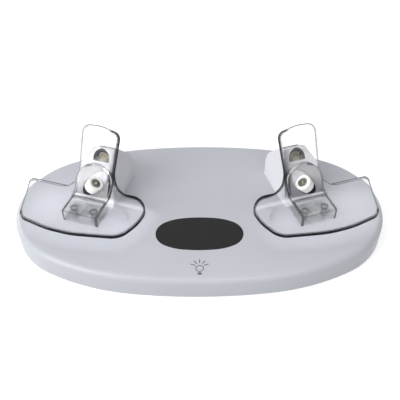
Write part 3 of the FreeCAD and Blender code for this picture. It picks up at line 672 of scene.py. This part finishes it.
class STAND_OT_touch_mark(bpy.types.Operator):
    """Print the light symbol in front of the mat"""

    bl_idname = "stand.touch_mark"
    bl_label = "Print light symbol"

    def execute(self, context):
        mark = context.scene.touch_mark
        ray_width = 1.15 * mark.line
        neck_width, neck_length, neck_ahead = 0.9 * mark.bulb, 1.15 * mark.bulb, 1.75 * mark.bulb
        bulb = Vector((0, mark.center, TOP + mark.thick / 2))
        rays = Matrix.Translation(bulb + Vector((0, mark.ray_rise, 0)))
        middle = Matrix.Translation((0, (mark.ray_from + mark.ray_to) / 2, 0))
        mesh = bmesh.new()
        for degrees in RAY_TURNS:
            turn = Matrix.Rotation(math.radians(degrees), 4, "Z")
            bar(mesh, ray_width, mark.ray_to - mark.ray_from, mark.thick, rays @ turn @ middle)
        neck = Matrix.Translation(bulb - Vector((0, neck_ahead, 0)))
        crosswise = Matrix.Rotation(math.radians(90), 4, "Z")
        bar(mesh, neck_width, neck_length, mark.thick, neck @ crosswise)
        ring(mesh, bulb, mark.bulb, mark.line, mark.thick)
        obj = flat_piece("touch_light_symbol", dull_plastic("mark_ink", mark.ink, 0.45), mesh)
        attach(obj, "base")
        return {"FINISHED"}


class STAND_OT_posts(bpy.types.Operator):
    """Dress the two posts and their metal inserts"""

    bl_idname = "stand.posts"
    bl_label = "Dress posts"

    def execute(self, context):
        look, metal = context.scene.stand_plastics, context.scene.stand_metals
        plan = context.scene.cradle_plan
        brass = turned_metal("brass_screw", metal.brass)
        for side in SIDES:
            wear(post_plastic("post_plastic_" + side, look, plan, side), side + "_post")
            wear(insert_metal("insert_metal_" + side, metal, plan, side), side + "_post_insert")
            wear(brass, side + "_post_insert_screw")
        return {"FINISHED"}


class STAND_OT_cradles(bpy.types.Operator):
    """Dress the two clear cradles"""

    bl_idname = "stand.cradles"
    bl_label = "Dress cradles"

    def execute(self, context):
        look, plan = context.scene.stand_clear, context.scene.cradle_plan
        for side in SIDES:
            wear(clear_plastic("clear_plastic_" + side, look, plan, side), side + "_cradle")
        return {"FINISHED"}


class STAND_OT_contacts(bpy.types.Operator):
    """Dress the charging contacts"""

    bl_idname = "stand.contacts"
    bl_label = "Dress contacts"

    def execute(self, context):
        look, metal = context.scene.stand_plastics, context.scene.stand_metals
        nickel = turned_metal("contact_nickel", metal.nickel)
        insulator = dull_plastic("contact_insulator", look.insulator)
        gold = turned_metal("pin_gold", metal.gold, 0.18)
        for side in SIDES:
            body = contact_body("contact_body_" + side, look, context.scene.cradle_plan, side)
            wear(body, side + "_contact_barrel")
            wear(nickel, side + "_contact_ring")
            wear(insulator, side + "_contact_insulator")
            wear(gold, side + "_pin_sleeve", side + "_contact_pin")
        return {"FINISHED"}


class STAND_OT_fasteners(bpy.types.Operator):
    """Dress the screws"""

    bl_idname = "stand.fasteners"
    bl_label = "Dress screws"

    def execute(self, context):
        names = ["base_screws", "board_screws"]
        for side in SIDES:
            names += [side + "_post_screws", side + "_cradle_screws"]
        wear(turned_metal("screw_steel", context.scene.stand_metals.steel), *names)
        return {"FINISHED"}


class STAND_OT_electronics(bpy.types.Operator):
    """Dress the board, the power socket and the touch electrode"""

    bl_idname = "stand.electronics"
    bl_label = "Dress electronics"

    def execute(self, context):
        look, metal = context.scene.stand_boards, context.scene.stand_metals
        wear(circuit_board("solder_mask", look), "main_board")
        wear(turned_metal("socket_steel", metal.steel, 0.2), "socket_shell")
        wear(dull_plastic("socket_tongue_plastic", look.tongue), "socket_tongue")
        wear(dull_plastic("chip_plastic", look.chip), "charge_chip")
        wear(dull_plastic("coil_ferrite", look.coil, 0.7), "coil_block")
        wear(turned_metal("electrode_copper", metal.copper, 0.35), "touch_electrode")
        lens = dull_plastic("light_lens", look.lens, 0.3)
        mask = circuit_board("light_board_mask", look)
        sleeve = dull_plastic("lead_sleeve", look.sleeve, 0.45)
        for side in SIDES:
            wear(mask, side + "_led_board")
            wear(lens, side + "_leds")
            wear(sleeve, side + "_lead")
        return {"FINISHED"}


# The studio


def studio_floor(name, cloth, glow):
    s = Surface(name)
    matt = s.node("ShaderNodeBsdfDiffuse", None, {"Color": rgba((cloth, cloth, cloth))})
    light = s.node("ShaderNodeEmission", None, {"Color": rgba((1, 1, 1)), "Strength": glow})
    both = s.node("ShaderNodeAddShader", None, {0: matt, 1: light})
    return s.output(s.node("ShaderNodeMixShader", None, {0: s.seen_directly(), 1: matt, 2: both}))


def surroundings(scene, ambient):
    world = bpy.data.worlds.new("surroundings")
    scene.world = world
    world.use_nodes = True
    s = Surface("surroundings", world.node_tree)
    strength = ambient + s.seen_directly() * (1.0 - ambient)
    back = s.node("ShaderNodeBackground", None, {"Color": rgba((1, 1, 1)), "Strength": strength})
    s.add("ShaderNodeOutputWorld", None, {"Surface": back})


def lamp(name, power, size, place, target):
    data = bpy.data.lights.new(name, "AREA")
    data.shape = "RECTANGLE"
    data.size, data.size_y = size
    data.energy = power
    obj = bpy.data.objects.new(name, data)
    obj.location = place
    obj.rotation_euler = (Vector(target) - Vector(place)).to_track_quat("-Z", "Y").to_euler()
    bpy.context.scene.collection.objects.link(obj)


def photo_camera(scene, set_up):
    data = bpy.data.cameras.new("photo_camera")
    data.lens = set_up.lens
    data.sensor_width = set_up.film
    data.shift_x = set_up.shift_right
    data.shift_y = set_up.shift_up
    camera = bpy.data.objects.new("photo_camera", data)
    rise = set_up.rise
    camera.location = (0, -set_up.distance * math.cos(rise), set_up.distance * math.sin(rise))
    tilt = Matrix.Rotation(math.radians(90) - rise, 3, "X")
    camera.rotation_euler = (tilt @ Matrix.Rotation(set_up.roll, 3, "Z")).to_euler()
    scene.collection.objects.link(camera)
    scene.camera = camera


class STAND_OT_studio(bpy.types.Operator):
    """Set up the floor, the lamps, the surroundings and the camera"""

    bl_idname = "stand.studio"
    bl_label = "Set up studio"

    def execute(self, context):
        scene = context.scene
        set_up = scene.stand_studio
        mesh = bmesh.new()
        bmesh.ops.create_grid(mesh, x_segments=1, y_segments=1, size=4.0)
        floor = flat_piece("floor", studio_floor("floor_white", set_up.cloth, set_up.glow), mesh)
        lamp("key_left", set_up.key, size=(0.7, 0.9), place=(-0.85, -0.55, 0.65), target=(0, 0, 0))
        lamp("front_soft", set_up.front, size=(0.5, 0.15), place=(0.0, -0.33, 0.30), target=(0, -0.04, 0))
        lamp("top_strip", set_up.top, size=(0.8, 0.28), place=(0.0, 0.45, 0.9), target=(0, 0, 0))
        lamp("rim_left", set_up.rim, size=(0.5, 0.2), place=(-0.88, 0.47, 0.25), target=(-0.1, 0, 0))
        surroundings(scene, set_up.ambient)
        photo_camera(scene, set_up)
        scene.view_settings.view_transform = "Standard"
        return {"FINISHED"}


SETTINGS = {
    "stand_plastics": StandPlastics,
    "stand_clear": ClearLook,
    "cradle_plan": CradlePlan,
    "stand_metals": MetalLook,
    "stand_boards": BoardLook,
    "touch_mark": TouchMark,
    "stand_studio": StudioSettings,
}

OPERATORS = (
    STAND_OT_base,
    STAND_OT_touch_mark,
    STAND_OT_posts,
    STAND_OT_cradles,
    STAND_OT_contacts,
    STAND_OT_fasteners,
    STAND_OT_electronics,
    STAND_OT_studio,
)


class STAND_PT_panel(bpy.types.Panel):
    """Settings and operators of the charging stand"""

    bl_idname = "STAND_PT_panel"
    bl_label = "Charging stand"
    bl_space_type = "VIEW_3D"
    bl_region_type = "UI"
    bl_category = "Stand"

    def draw(self, context):
        for group, made in SETTINGS.items():
            box = self.layout.box()
            for name in made.__annotations__:
                box.prop(getattr(context.scene, group), name)
        for operator in OPERATORS:
            self.layout.operator(operator.bl_idname)


def register():
    for group, made in SETTINGS.items():
        bpy.utils.register_class(made)
        setattr(bpy.types.Scene, group, PointerProperty(type=made))
    for made in OPERATORS + (STAND_PT_panel,):
        bpy.utils.register_class(made)


def unregister():
    for made in (STAND_PT_panel,) + OPERATORS[::-1]:
        bpy.utils.unregister_class(made)
    for group, made in SETTINGS.items():
        delattr(bpy.types.Scene, group)
        bpy.utils.unregister_class(made)


def main():
    register()
    bpy.ops.stand.base()
    bpy.ops.stand.touch_mark()
    bpy.ops.stand.posts()
    bpy.ops.stand.cradles()
    bpy.ops.stand.contacts()
    bpy.ops.stand.fasteners()
    bpy.ops.stand.electronics()
    bpy.ops.stand.studio()


if __name__ == "__main__":
    main()
